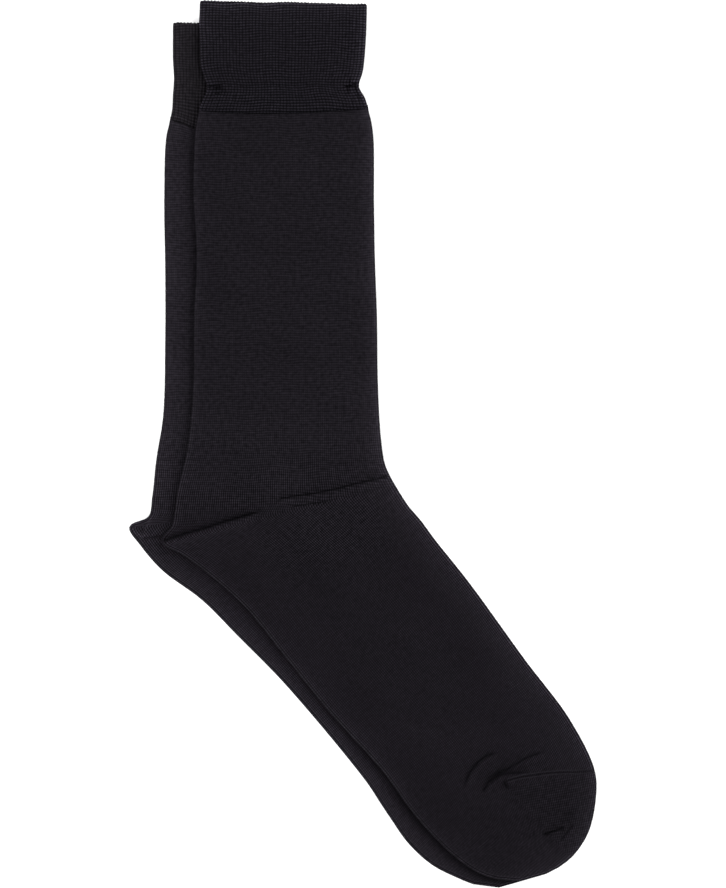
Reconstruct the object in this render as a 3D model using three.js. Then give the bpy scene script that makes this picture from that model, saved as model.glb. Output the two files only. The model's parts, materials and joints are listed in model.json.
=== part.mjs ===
// Pair of fine-knit dress socks, laid flat on a surface with one sock on the other, cuffs at the top.
// Millimetres: +X is right, +Y is towards the cuffs and +Z is up from the surface.
// The origin is on the surface, at the middle of the pair.

import * as THREE from "three";
import { mergeVertices } from "three/addons/utils/BufferGeometryUtils.js";

// Knit: each sock is a tube pressed flat, so it has a lower and an upper layer of one wall.
const WALL = 1.2;
const HOLLOW = 0.4;
const SEAM_GAP = 0.3;
const SOCK_HEIGHT = 2 * WALL + HOLLOW;
const RIM_RADIUS = SOCK_HEIGHT / 2;
const KNIT_BLACK = 0x1c1a1f;
const KNIT_ROUGHNESS = 0.9;

// Cuff ribs, raised on the side that faces up.
const RIBS_ACROSS = 50;
const RIB_RISE = 0.3;

// How the upper sock lies on the lower one and drapes past its edge to the surface.
const LIE_GAP = 0.3;
const LIE_HEIGHT = SOCK_HEIGHT + RIB_RISE + LIE_GAP;
const DRAPE_REACH = 8.5;

// Sections of each sock, from the cuff's mouth to the toe, as seen from above.
// back and front are the folded edges at the heel side and the instep side, and
// bow is how far the middle of the section lies towards the toe.
const UPPER_SECTIONS = [
  { at: "mouth", back: [-81.5, 221.5], front: [1.5, 220], bow: 0 },
  { at: "cuff", back: [-82, 204.5], front: [1, 203.5], bow: 0 },
  { at: "low cuff", back: [-81.5, 188], front: [-0.5, 187], bow: 0.5 },
  { at: "pinch", back: [-79, 178], front: [-2.5, 179], bow: 1 },
  { at: "under pinch", back: [-80.5, 172], front: [0.5, 173], bow: 1.5 },
  { at: "cuff seam", back: [-82, 166.5], front: [2, 168], bow: 2 },
  { at: "calf top", back: [-84, 155], front: [4.5, 156], bow: 1.5 },
  { at: "calf", back: [-85, 123], front: [5, 122], bow: 0 },
  { at: "low calf", back: [-83, 93], front: [5.5, 92], bow: 0 },
  { at: "shin", back: [-84.5, 66], front: [6.5, 64.5], bow: 0 },
  { at: "low shin", back: [-85.5, 27], front: [7, 29.5], bow: 0 },
  { at: "ankle top", back: [-88.5, -1], front: [8.5, 3], bow: 0 },
  { at: "ankle", back: [-93, -20.5], front: [10.5, -10], bow: 0 },
  { at: "over heel", back: [-96.5, -38], front: [13, -16], bow: 0 },
  { at: "heel tip", back: [-100.5, -48.5], front: [15.5, -20.5], bow: 0 },
  { at: "under heel", back: [-90, -55], front: [18.5, -25.5], bow: 0 },
  { at: "heel end", back: [-78.5, -63.5], front: [22.5, -31.5], bow: 0 },
  { at: "instep", back: [-58.5, -81.5], front: [28.5, -38.5], bow: 0 },
  { at: "arch", back: [-37.5, -107.5], front: [35.5, -48], bow: 0 },
  { at: "mid foot", back: [-17.5, -132.5], front: [53, -70], bow: 0 },
  { at: "ball", back: [9.5, -162.5], front: [80.5, -108], bow: 0 },
  { at: "toe start", back: [17, -172.5], front: [103, -138], bow: -1 },
  { at: "toe seam", back: [22.5, -180.5], front: [115.5, -163.5], bow: -2.5 },
  { at: "toe", back: [32.5, -192.5], front: [116, -178], bow: -1 },
  { at: "low toe", back: [44.5, -204.5], front: [112, -195], bow: 0 },
  { at: "toe end", back: [57, -213.5], front: [103, -207.5], bow: 0 },
  { at: "toe tip side", back: [67, -217], front: [91.5, -214.5], bow: 0 },
];
const UPPER_TIP = [79, -218];

const LOWER_SECTIONS = [
  { at: "mouth", back: [-94.5, 210.5], front: [-12, 209.5], bow: 0 },
  { at: "cuff", back: [-94.5, 192], front: [-12.5, 193], bow: 0 },
  { at: "low cuff", back: [-94, 183], front: [-13.5, 183], bow: 0.5 },
  { at: "pinch", back: [-94.5, 175], front: [-14, 175], bow: 1 },
  { at: "under pinch", back: [-95, 167], front: [-12, 168], bow: 1.5 },
  { at: "cuff seam", back: [-96, 162], front: [-11, 163], bow: 2 },
  { at: "calf top", back: [-98, 153.5], front: [-9.5, 154.5], bow: 1.5 },
  { at: "calf", back: [-99, 122], front: [-8.5, 122], bow: 0 },
  { at: "low calf", back: [-98.5, 87], front: [-8, 87], bow: 0 },
  { at: "shin", back: [-98.5, 52], front: [-7.5, 52], bow: 0 },
  { at: "low shin", back: [-99.5, 14.5], front: [-6.5, 17], bow: 0 },
  { at: "ankle top", back: [-103, -8], front: [-5, -3], bow: 0 },
  { at: "ankle", back: [-105, -26.5], front: [-2, -18], bow: 0 },
  { at: "over heel", back: [-107, -36.5], front: [0, -23], bow: 0 },
  { at: "heel tip", back: [-116.5, -41.5], front: [2.5, -27], bow: 0 },
  { at: "under heel", back: [-111, -50.5], front: [5, -31.5], bow: 0 },
  { at: "heel end", back: [-100, -63], front: [8, -37], bow: 0 },
  { at: "instep", back: [-80.5, -77.5], front: [12.5, -43.5], bow: 0 },
  { at: "arch", back: [-62, -96], front: [18.5, -52], bow: 0 },
  { at: "mid foot", back: [-38.5, -120], front: [34.5, -69.5], bow: 0 },
  { at: "ball", back: [1.5, -168], front: [74.5, -118], bow: 0 },
  { at: "toe start", back: [9.5, -180], front: [92.5, -147], bow: -1 },
  { at: "toe seam", back: [14.5, -187.5], front: [104.5, -171], bow: -2.5 },
  { at: "toe", back: [23, -199.5], front: [107, -184], bow: -1 },
  { at: "low toe", back: [34.5, -210], front: [102, -199], bow: 0 },
  { at: "toe end", back: [47, -216.5], front: [91, -211], bow: 0 },
  { at: "toe tip side", back: [57.5, -220.5], front: [78.5, -219], bow: 0 },
];
const LOWER_TIP = [68, -221.5];

// Folds where the ankle bends, as lips raised on the side that faces up.
// section is where the crest runs, in sections from the mouth, and from and to are
// shares of the width from the back edge. reach is the lip's half width in sections,
// and each lip sinks to nothing over the last part of its length.
const FOLDS = [
  { name: "heel fold", section: 14.3, from: 0, to: 0.48, rise: 0.7, reach: 0.45 },
  { name: "instep fold", section: 13.2, from: 0.5, to: 1, rise: 0.6, reach: 0.4 },
];

const FOLD_FADE = 0.4;

// Where the pieces of a sock meet, and where its ankle is, in sections from the mouth.
const CUFF_SEAM = 5;
const ANKLE_START = 12;
const ANKLE_END = 16;
const TOE_SEAM = 22;

// Steps in each section, in each rounded rim and along each outline.
const LEG_STEPS = 2;
const ANKLE_STEPS = 4;
const TOE_STEPS = 3;
const OUTER_RIM_STEPS = 4;
const INNER_RIM_STEPS = 2;
const OUTLINE_STEPS = 4;

function smooth(x) {
  const t = THREE.MathUtils.clamp(x, 0, 1);
  return t * t * (3 - 2 * t);
}

// One smooth line down the back edge, round the toe and up the front edge.
function makeOutline(sections, tip) {
  const rising = [...sections].reverse();
  const corners = [
    ...sections.map((row) => row.back),
    tip,
    ...rising.map((row) => row.front),
  ].map(([x, y]) => new THREE.Vector3(x, y, 0));
  const curve = new THREE.CatmullRomCurve3(corners, false, "centripetal");
  const last = corners.length - 1;
  return (place) => {
    const at = curve.getPoint(place / last);
    const along = curve.getTangent(place / last);
    return { at, inward: new THREE.Vector3(-along.y, along.x, 0) };
  };
}

function makeSock(sections, tip, baseAt) {
  const outline = makeOutline(sections, tip);
  const tipPlace = sections.length;
  const bowAt = (section) => {
    const lower = Math.min(Math.floor(section), tipPlace - 1);
    const next = Math.min(lower + 1, tipPlace - 1);
    const share = Math.min(section - lower, 1);
    return THREE.MathUtils.lerp(sections[lower].bow, sections[next].bow, share);
  };
  return { outline, tipPlace, bowAt, baseAt };
}

// The height by which the folds lift the upper face at one place of a sock.
function foldRise(section, share) {
  let rise = 0;
  for (const fold of FOLDS) {
    const off = Math.abs(section - fold.section) / fold.reach;
    const middle = (fold.from + fold.to) / 2;
    const length = (fold.to - fold.from) / 2;
    const toEnd = 1 - Math.abs(share - middle) / length;
    rise += fold.rise * (1 - smooth(off)) * smooth(toEnd / FOLD_FADE);
  }
  return rise;
}

// The plan of one section: both rim centres, their outward directions and the way to the toe.
function sectionPlan(sock, section) {
  const back = sock.outline(section);
  const front = sock.outline(2 * sock.tipPlace - section);
  const backCentre = back.at.clone().addScaledVector(back.inward, RIM_RADIUS);
  const frontCentre = front.at.clone().addScaledVector(front.inward, RIM_RADIUS);
  const across = frontCentre.clone().sub(backCentre);
  const toeward = new THREE.Vector3(across.y, -across.x, 0);
  if (across.length() > WALL) toeward.normalize();
  else toeward.set(0, 0, 0);
  return {
    backCentre,
    frontCentre,
    backOut: back.inward.clone().negate(),
    frontOut: front.inward.clone().negate(),
    toeward,
    bow: sock.bowAt(section),
  };
}

// One closed loop round the flat tube at a section, as points with their stations from 0 to 4:
// the lower layer from back to front, the front rim, the upper layer back again, the back rim.
function loopAt(sock, section, shift, radius, lowerShares, upperShares, rimSteps, riseAt) {
  const plan = sectionPlan(sock, section);
  const loop = [];
  const add = (at, height, station) => {
    const point = at.clone().addScaledVector(plan.toeward, shift);
    point.z = sock.baseAt(point.x, point.y) + RIM_RADIUS + height;
    loop.push({ point, station });
  };
  const onLayer = (share) =>
    plan.backCentre
      .clone()
      .lerp(plan.frontCentre, share)
      .addScaledVector(plan.toeward, plan.bow * 4 * share * (1 - share));
  const addRim = (centre, out, fromStation) => {
    for (let step = 1; step < rimSteps; step += 1) {
      const turn = (Math.PI * step) / rimSteps;
      const up = fromStation === 1 ? -Math.cos(turn) : Math.cos(turn);
      const at = centre.clone().addScaledVector(out, radius * Math.sin(turn));
      add(at, radius * up, fromStation + step / rimSteps);
    }
  };
  for (const share of lowerShares) add(onLayer(share), -radius, share);
  addRim(plan.frontCentre, plan.frontOut, 1);
  for (const share of [...upperShares].reverse()) {
    add(onLayer(share), radius + riseAt(section, share), 3 - share);
  }
  addRim(plan.backCentre, plan.backOut, 3);
  return loop;
}

// Triangles of the ring between an outer and an inner loop, which may differ in their points.
function joinLoops(outer, inner, flip, put) {
  const stationAfter = (loop, i) => (i + 1 < loop.length ? loop[i + 1].station : 4);
  const pointAt = (loop, i) => loop[i % loop.length].point;
  let i = 0;
  let j = 0;
  while (i < outer.length || j < inner.length) {
    const outerNext = i < outer.length ? stationAfter(outer, i) : Infinity;
    const innerNext = j < inner.length ? stationAfter(inner, j) : Infinity;
    const advanceOuter = outerNext <= innerNext;
    const third = advanceOuter ? pointAt(outer, i + 1) : pointAt(inner, j + 1);
    if (flip) put(pointAt(outer, i), third, pointAt(inner, j));
    else put(pointAt(outer, i), pointAt(inner, j), third);
    if (advanceOuter) i += 1;
    else j += 1;
  }
}

// Triangles of the surface through a row of loops, facing away from the tube or into it.
function skinLoops(loops, facesIn, put) {
  for (let k = 0; k + 1 < loops.length; k += 1) {
    const count = loops[k].length;
    for (let i = 0; i < count; i += 1) {
      const a = loops[k][i].point;
      const b = loops[k][(i + 1) % count].point;
      const c = loops[k + 1][(i + 1) % count].point;
      const d = loops[k + 1][i].point;
      if (facesIn) {
        put(a, c, b);
        put(a, d, c);
      } else {
        put(a, b, c);
        put(a, c, d);
      }
    }
  }
}

// A length of flat tube with a real wall. It is open where it starts, and open where it
// ends too unless it ends at the toe's tip, where both layers close on each other.
function makeTube(sock, places, layerShares, topShares, riseAt) {
  const first = places[0];
  const last = places[places.length - 1];
  const closed = last === sock.tipPlace;
  const none = () => 0;
  const shiftAt = (place) => {
    if (place === first && first > 0) return SEAM_GAP / 2;
    if (place === last && !closed) return -SEAM_GAP / 2;
    return 0;
  };
  const outer = places.map((place) =>
    loopAt(sock, place, shiftAt(place), RIM_RADIUS, layerShares, topShares, OUTER_RIM_STEPS, riseAt),
  );
  const inner = places.map((place) =>
    loopAt(sock, place, shiftAt(place), HOLLOW / 2, layerShares, layerShares, INNER_RIM_STEPS, none),
  );
  const coordinates = [];
  const put = (...points) => points.forEach((p) => coordinates.push(p.x, p.y, p.z));
  skinLoops(outer, false, put);
  skinLoops(inner, true, put);
  joinLoops(outer[0], inner[0], false, put);
  if (!closed) joinLoops(outer[outer.length - 1], inner[inner.length - 1], true, put);
  const loose = new THREE.BufferGeometry();
  loose.setAttribute("position", new THREE.Float32BufferAttribute(coordinates, 3));
  return dropSlivers(mergeVertices(loose, 1e-3));
}

// Removes the triangles that have two corners in one place, as at the toe's tip.
function dropSlivers(geometry) {
  const kept = [];
  const index = geometry.index.array;
  for (let i = 0; i < index.length; i += 3) {
    const [a, b, c] = index.slice(i, i + 3);
    if (a !== b && b !== c && c !== a) kept.push(a, b, c);
  }
  geometry.setIndex(kept);
  geometry.computeVertexNormals();
  return geometry;
}

// Even places from one section to another, with some steps in each section.
function evenPlaces(from, to, steps) {
  const count = Math.round((to - from) * steps);
  return Array.from({ length: count + 1 }, (_, i) => from + i / steps);
}

// Signed distance to a sock's outline, below zero inside it.
function makeDistance(sock) {
  const corners = evenPlaces(0, 2 * sock.tipPlace, OUTLINE_STEPS).map((place) => sock.outline(place).at);
  return (x, y) => {
    let nearest = Infinity;
    let inside = false;
    corners.forEach((a, i) => {
      const b = corners[(i + 1) % corners.length];
      const span = (b.x - a.x) ** 2 + (b.y - a.y) ** 2;
      const reach = (x - a.x) * (b.x - a.x) + (y - a.y) * (b.y - a.y);
      const share = THREE.MathUtils.clamp(reach / span, 0, 1);
      const off = Math.hypot(a.x + share * (b.x - a.x) - x, a.y + share * (b.y - a.y) - y);
      nearest = Math.min(nearest, off);
      const crosses = a.y > y !== b.y > y;
      if (crosses && x < a.x + ((y - a.y) / (b.y - a.y)) * (b.x - a.x)) inside = !inside;
    });
    return inside ? -nearest : nearest;
  };
}

// Ribs stand up and fall by turns across the cuff.
const RIB_SHARES = Array.from({ length: 2 * RIBS_ACROSS + 1 }, (_, i) => i / (2 * RIBS_ACROSS));
function cuffRise(_section, share) {
  const onRib = Math.round(share * 2 * RIBS_ACROSS) % 2;
  return RIB_RISE * onRib;
}

const lowerSock = makeSock(LOWER_SECTIONS, LOWER_TIP, () => 0);
const distanceToLower = makeDistance(lowerSock);
const upperSock = makeSock(UPPER_SECTIONS, UPPER_TIP, (x, y) => {
  return LIE_HEIGHT * (1 - smooth(distanceToLower(x, y) / DRAPE_REACH));
});

// The upper sock has more steps where it drapes past the lower sock's front edge and mouth.
const LAYER_SHARES = {
  lower: [0, 0.14, 0.28, 0.42, 0.56, 0.7, 0.85, 1],
  upper: [0, 0.15, 0.3, 0.45, 0.6, 0.72, 0.8, 0.84, 0.87, 0.9, 0.93, 0.965, 1],
};
const CUFF_PLACES = {
  lower: evenPlaces(0, CUFF_SEAM, 1),
  upper: [0, 0.18, 0.36, 0.54, 0.72, 1, 2, 3, 4, CUFF_SEAM],
};
const LEG_PLACES = [
  ...evenPlaces(CUFF_SEAM, ANKLE_START, LEG_STEPS),
  ...evenPlaces(ANKLE_START, ANKLE_END, ANKLE_STEPS).slice(1),
  ...evenPlaces(ANKLE_END, TOE_SEAM, LEG_STEPS).slice(1),
];

const pair = new THREE.Group();
function addMesh(name, geometry) {
  const material = new THREE.MeshStandardMaterial({
    color: KNIT_BLACK,
    roughness: KNIT_ROUGHNESS,
    metalness: 0,
  });
  const mesh = new THREE.Mesh(geometry, material);
  mesh.name = name;
  pair.add(mesh);
}

const SOCKS = [
  { name: "lower", sock: lowerSock },
  { name: "upper", sock: upperSock },
];
for (const { name, sock } of SOCKS) {
  const shares = LAYER_SHARES[name];
  const toePlaces = evenPlaces(TOE_SEAM, sock.tipPlace, TOE_STEPS);
  const legRise = name === "upper" ? foldRise : () => 0;
  addMesh(`${name}_sock_cuff`, makeTube(sock, CUFF_PLACES[name], shares, RIB_SHARES, cuffRise));
  addMesh(`${name}_sock_leg_and_foot`, makeTube(sock, LEG_PLACES, shares, shares, legRise));
  addMesh(`${name}_sock_toe`, makeTube(sock, toePlaces, shares, shares, () => 0));
}

export default pair;
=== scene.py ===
# %% [markdown]
# # A pair of knitted dress socks, laid flat
# A fine dress sock is one knitted tube. Pressed flat it has two layers, a rounded fold along
# each side, and soft creases where the ankle bends and where the toe was closed. This lesson
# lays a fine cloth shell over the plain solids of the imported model, one step at a time.

# %% Load the frame
import json
import math
from collections import namedtuple
import bmesh
import bpy
import numpy as np
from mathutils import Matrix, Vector
from mathutils.bvhtree import BVHTree

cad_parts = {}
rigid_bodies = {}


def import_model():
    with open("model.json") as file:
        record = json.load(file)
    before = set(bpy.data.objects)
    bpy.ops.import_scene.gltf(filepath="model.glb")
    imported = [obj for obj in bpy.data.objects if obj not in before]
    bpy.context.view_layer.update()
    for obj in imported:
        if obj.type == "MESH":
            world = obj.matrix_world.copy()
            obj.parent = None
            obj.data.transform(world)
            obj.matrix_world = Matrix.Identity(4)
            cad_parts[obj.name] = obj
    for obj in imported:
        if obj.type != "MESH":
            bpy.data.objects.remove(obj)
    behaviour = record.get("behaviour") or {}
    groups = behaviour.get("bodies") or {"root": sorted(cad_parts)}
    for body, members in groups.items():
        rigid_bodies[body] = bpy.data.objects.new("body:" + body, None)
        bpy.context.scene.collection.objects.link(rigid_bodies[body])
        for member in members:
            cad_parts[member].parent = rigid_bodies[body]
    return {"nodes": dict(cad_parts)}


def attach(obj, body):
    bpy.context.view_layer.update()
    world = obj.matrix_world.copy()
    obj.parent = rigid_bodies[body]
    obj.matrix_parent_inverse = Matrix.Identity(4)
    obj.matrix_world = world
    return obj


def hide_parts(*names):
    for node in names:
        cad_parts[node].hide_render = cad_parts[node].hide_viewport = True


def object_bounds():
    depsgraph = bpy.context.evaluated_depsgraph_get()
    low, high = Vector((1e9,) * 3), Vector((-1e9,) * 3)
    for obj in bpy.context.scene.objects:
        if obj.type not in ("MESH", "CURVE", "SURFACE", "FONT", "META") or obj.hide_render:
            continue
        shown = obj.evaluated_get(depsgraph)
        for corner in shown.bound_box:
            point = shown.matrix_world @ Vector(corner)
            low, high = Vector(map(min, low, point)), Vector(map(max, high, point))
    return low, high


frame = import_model()
cad_low, cad_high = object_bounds()
print("solids:", sorted(frame["nodes"]))

# %% [markdown]
# ## Floor and camera
# The socks lie on a pale sheet and are seen from straight above. A bent backdrop could stand
# in for the sheet, but a flat plane is enough for a thing that lies flat. A long lens keeps the
# edges of the tall, narrow subject from leaning.

# %% Floor and camera
MM = 0.001
PHOTO_HEIGHT = 888
MM_PER_PIXEL = 0.5
PHOTO_MIDDLE = (363.0, 444.0)
FLOOR_SIZE = 6.0
FLOOR_DROP = 0.0001
CAMERA_HEIGHT = 2.2
SENSOR = 36.0


def from_photo(x, y):
    """A pixel of the photograph as a place in the part's plan, in millimetres."""
    return ((x - PHOTO_MIDDLE[0]) * MM_PER_PIXEL, (PHOTO_MIDDLE[1] - y) * MM_PER_PIXEL)


def new_mesh_object(name, vertices, faces):
    mesh = bpy.data.meshes.new(name)
    mesh.from_pydata(vertices, [], faces)
    mesh.update()
    made = bpy.data.objects.new(name, mesh)
    bpy.context.scene.collection.objects.link(made)
    return made


half = FLOOR_SIZE / 2
floor_corners = [(x * half, y * half, -FLOOR_DROP) for x, y in ((-1, -1), (1, -1), (1, 1), (-1, 1))]
floor = new_mesh_object("floor", floor_corners, [(0, 1, 2, 3)])

camera_data = bpy.data.cameras.new("camera")
camera_data.sensor_width = SENSOR
view_height = PHOTO_HEIGHT * MM_PER_PIXEL * MM
camera_data.lens = SENSOR * (CAMERA_HEIGHT - cad_high[2] / 2) / view_height
camera = bpy.data.objects.new("camera", camera_data)
camera.location = (0.0, 0.0, CAMERA_HEIGHT)
bpy.context.scene.collection.objects.link(camera)
bpy.context.scene.camera = camera
print("lens", round(camera_data.lens, 1), "mm for a view", view_height, "m high")

# %% [markdown]
# ## Light
# Black knit shows its folds only where a slope meets a light. One lamp overhead would leave it
# flat, so soft panels stand low on four sides and the sky overhead stays dim. Their watts
# differ a little, because in the picture one side of each fold is the lighter one.

# %% Light
Panel = namedtuple("Panel", "name x y z size watts")
PANELS = (
    Panel("upper left", -1.4, 1.1, 1.2, 1.1, 52.0),
    Panel("upper right", 1.4, 1.1, 1.3, 1.1, 44.0),
    Panel("lower left", -1.3, -1.1, 1.3, 1.1, 34.0),
    Panel("lower right", 1.4, -1.1, 1.2, 1.1, 46.0),
)
WORLD_STRENGTH = 0.25


def add_panel(panel):
    light = bpy.data.lights.new(panel.name, "AREA")
    light.shape = "SQUARE"
    light.size = panel.size
    light.energy = panel.watts
    lamp = bpy.data.objects.new(panel.name, light)
    lamp.location = (panel.x, panel.y, panel.z)
    lamp.rotation_euler = Vector((panel.x, panel.y, panel.z)).to_track_quat("Z", "Y").to_euler()
    bpy.context.scene.collection.objects.link(lamp)


for panel in PANELS:
    add_panel(panel)
world = bpy.data.worlds.new("studio")
world.use_nodes = True
world.node_tree.nodes["Background"].inputs["Color"].default_value = (1.0, 1.0, 1.0, 1.0)
world.node_tree.nodes["Background"].inputs["Strength"].default_value = WORLD_STRENGTH
bpy.context.scene.world = world
bpy.context.scene.view_settings.view_transform = "Standard"
print("light panels:", [panel.name for panel in PANELS])

# %% [markdown]
# ## The cut of the socks
# Each sock is described as its maker would lay it out: sections across the flat tube from the
# cuff's mouth to the toe, each from the heel side's fold to the instep side's fold. They are
# the same sections that the solids have, so the shells lie on them. Loose points round the
# outline would do as well, but sections also tell which way the tube runs.

# %% Sections
SOCK_HEIGHT = 2.8
RIM = SOCK_HEIGHT / 2
EDGE_GROWTH = 0.5
HALF_HOLLOW = 0.2
RIB_RISE = 0.3
LIE_HEIGHT = 3.4
DRAPE_REACH = 8.5
CUFF_SEAM = 5
TOE_SEAM = 22

# The columns are the back edge's place, the front edge's place and the bow towards the toe.
Section = namedtuple("Section", "back_x back_y front_x front_y bow")
UPPER_SECTIONS = (
    Section(-81.5, 221.5, 1.5, 220, 0),
    Section(-82, 204.5, 1, 203.5, 0),
    Section(-81.5, 188, -0.5, 187, 0.5),
    Section(-79, 178, -2.5, 179, 1),
    Section(-80.5, 172, 0.5, 173, 1.5),
    Section(-82, 166.5, 2, 168, 2),
    Section(-84, 155, 4.5, 156, 1.5),
    Section(-85, 123, 5, 122, 0),
    Section(-83, 93, 5.5, 92, 0),
    Section(-84.5, 66, 6.5, 64.5, 0),
    Section(-85.5, 27, 7, 29.5, 0),
    Section(-88.5, -1, 8.5, 3, 0),
    Section(-93, -20.5, 10.5, -10, 0),
    Section(-96.5, -38, 13, -16, 0),
    Section(-100.5, -48.5, 15.5, -20.5, 0),
    Section(-90, -55, 18.5, -25.5, 0),
    Section(-78.5, -63.5, 22.5, -31.5, 0),
    Section(-58.5, -81.5, 28.5, -38.5, 0),
    Section(-37.5, -107.5, 35.5, -48, 0),
    Section(-17.5, -132.5, 53, -70, 0),
    Section(9.5, -162.5, 80.5, -108, 0),
    Section(17, -172.5, 103, -138, -1),
    Section(22.5, -180.5, 115.5, -163.5, -2.5),
    Section(32.5, -192.5, 116, -178, -1),
    Section(44.5, -204.5, 112, -195, 0),
    Section(57, -213.5, 103, -207.5, 0),
    Section(67, -217, 91.5, -214.5, 0),
)
UPPER_TIP = (79, -218)
LOWER_SECTIONS = (
    Section(-94.5, 210.5, -12, 209.5, 0),
    Section(-94.5, 192, -12.5, 193, 0),
    Section(-94, 183, -13.5, 183, 0.5),
    Section(-94.5, 175, -14, 175, 1),
    Section(-95, 167, -12, 168, 1.5),
    Section(-96, 162, -11, 163, 2),
    Section(-98, 153.5, -9.5, 154.5, 1.5),
    Section(-99, 122, -8.5, 122, 0),
    Section(-98.5, 87, -8, 87, 0),
    Section(-98.5, 52, -7.5, 52, 0),
    Section(-99.5, 14.5, -6.5, 17, 0),
    Section(-103, -8, -5, -3, 0),
    Section(-105, -26.5, -2, -18, 0),
    Section(-107, -36.5, 0, -23, 0),
    Section(-116.5, -41.5, 2.5, -27, 0),
    Section(-111, -50.5, 5, -31.5, 0),
    Section(-100, -63, 8, -37, 0),
    Section(-80.5, -77.5, 12.5, -43.5, 0),
    Section(-62, -96, 18.5, -52, 0),
    Section(-38.5, -120, 34.5, -69.5, 0),
    Section(1.5, -168, 74.5, -118, 0),
    Section(9.5, -180, 92.5, -147, -1),
    Section(14.5, -187.5, 104.5, -171, -2.5),
    Section(23, -199.5, 107, -184, -1),
    Section(34.5, -210, 102, -199, 0),
    Section(47, -216.5, 91, -211, 0),
    Section(57.5, -220.5, 78.5, -219, 0),
)
LOWER_TIP = (68, -221.5)
print("sections a sock:", len(UPPER_SECTIONS), len(LOWER_SECTIONS))

# %% [markdown]
# ## One smooth line round each sock
# The folded edges and the toe are one line through the ends of the sections. A centripetal
# spline is used because it passes through each point and never loops at the heel's corner.

# %% Outline
def smooth(x):
    t = np.clip(x, 0.0, 1.0)
    return t * t * (3 - 2 * t)


def spline_through(corners):
    """A function from places (0 at the first corner, 1 at the next) to points and directions."""
    corners = np.array(corners, float)
    padded = np.vstack([2 * corners[0] - corners[1], corners, 2 * corners[-1] - corners[-2]])

    def at(places):
        places = np.atleast_1d(np.asarray(places, float))
        start = np.clip(np.floor(places).astype(int), 0, len(corners) - 2)
        t = (places - start)[:, None]
        p0, p1, p2, p3 = (padded[start + k] for k in range(4))
        gaps = [np.sqrt(np.linalg.norm(b - a, axis=1))[:, None] for a, b in ((p0, p1), (p1, p2), (p2, p3))]
        before, here, after = gaps
        m1 = ((p1 - p0) / before - (p2 - p0) / (before + here) + (p2 - p1) / here) * here
        m2 = ((p2 - p1) / here - (p3 - p1) / (here + after) + (p3 - p2) / after) * here
        c2 = -3 * p1 + 3 * p2 - 2 * m1 - m2
        c3 = 2 * p1 - 2 * p2 + m1 + m2
        point = p1 + m1 * t + c2 * t**2 + c3 * t**3
        along = m1 + 2 * c2 * t + 3 * c3 * t**2
        return point, along / np.linalg.norm(along, axis=1)[:, None]

    return at


print("a line through", len(UPPER_SECTIONS) * 2 + 1, "points for the upper sock")

# %% [markdown]
# ## Two socks, one on the other
# A sock is limp, so the upper one lies on the lower one and sinks to the table past its edge,
# and its back edge is drawn in where the elastic and the ankle pull. A cloth simulation could
# find such a form. Here it is worked out from the distance to the lower sock's outline and
# from a short table, so that it comes out the same each time.

# %% Socks
# Down the upper sock's back edge: pixel row of the photograph, and how far in the cloth is
# drawn there in millimetres. The deepest places are the cuff's pinch and the ankle.
UPPER_DRAWN_IN = (
    (4, 0.5), (24, 0.6), (44, 1.3), (66, 1.4), (80, 1.5), (88, 1.9), (95, 1.3), (106, 0.7), (130, 0.6),
    (160, 0.8), (220, 0.8), (260, 0.3), (300, 0.6), (350, 0.8), (400, 1.2), (440, 1.5), (475, 1.6),
    (495, 1.5), (512, 1.8), (524, 2.6), (531, 1.8), (538, 0.6), (546, 0.0),
)
NOT_DRAWN_IN = ((0, 0.0), (PHOTO_HEIGHT, 0.0))
OUTLINE_STEPS = 8
# These keep a division from meeting a length of nothing.
NO_WIDTH, NO_RISE = 1e-6, 1e-9


class Sock:
    """One sock's plan: its outline, its sections and the height of what it lies on."""

    def __init__(self, sections, tip, base_at, drawn_in):
        backs = [(s.back_x, s.back_y) for s in sections]
        fronts = [(s.front_x, s.front_y) for s in sections]
        self.outline = spline_through(backs + [tip] + fronts[::-1])
        self.tip = len(sections)
        self.bows = [s.bow for s in sections] + [sections[-1].bow]
        self.base_at = base_at
        self.drawn_in_at = [-from_photo(0, row)[1] for row, _depth in drawn_in]
        self.drawn_in = [depth for _row, depth in drawn_in]

    def plan(self, places):
        """For each section: both rim centres, the outward directions, the toeward one and the bow."""
        back, back_along = self.outline(places)
        drawn_in = np.interp(-back[:, 1], self.drawn_in_at, self.drawn_in)
        front, front_along = self.outline(2 * self.tip - places)
        back_out = np.stack([back_along[:, 1], -back_along[:, 0]], axis=1)
        front_out = np.stack([front_along[:, 1], -front_along[:, 0]], axis=1)
        back_centre = back - (RIM + drawn_in)[:, None] * back_out
        front_centre = front - RIM * front_out
        across = front_centre - back_centre
        length = np.maximum(np.linalg.norm(across, axis=1), NO_WIDTH)[:, None]
        toeward = np.stack([across[:, 1], -across[:, 0]], axis=1) / length
        toeward[places >= self.tip] = 0
        bow = np.interp(places, np.arange(self.tip + 1), self.bows)
        return back_centre, front_centre, back_out, front_out, toeward, bow


def outline_distance(sock, points):
    """Signed distance from points to a sock's outline, below zero inside it."""
    corners = sock.outline(np.linspace(0, 2 * sock.tip, OUTLINE_STEPS * sock.tip + 1))[0]
    ends = np.roll(corners, -1, axis=0)
    flat = points.reshape(-1, 2)
    nearest = np.full(len(flat), np.inf)
    inside = np.zeros(len(flat), bool)
    for a, b in zip(corners, ends):
        edge = b - a
        share = np.clip((flat - a) @ edge / max(edge @ edge, NO_RISE), 0, 1)
        nearest = np.minimum(nearest, np.linalg.norm(flat - a - share[:, None] * edge, axis=1))
        crosses = (a[1] > flat[:, 1]) != (b[1] > flat[:, 1])
        rise = edge[1] if edge[1] else NO_RISE
        inside ^= crosses & (flat[:, 0] < a[0] + (flat[:, 1] - a[1]) / rise * edge[0])
    return np.where(inside, -nearest, nearest).reshape(points.shape[:-1])


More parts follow.
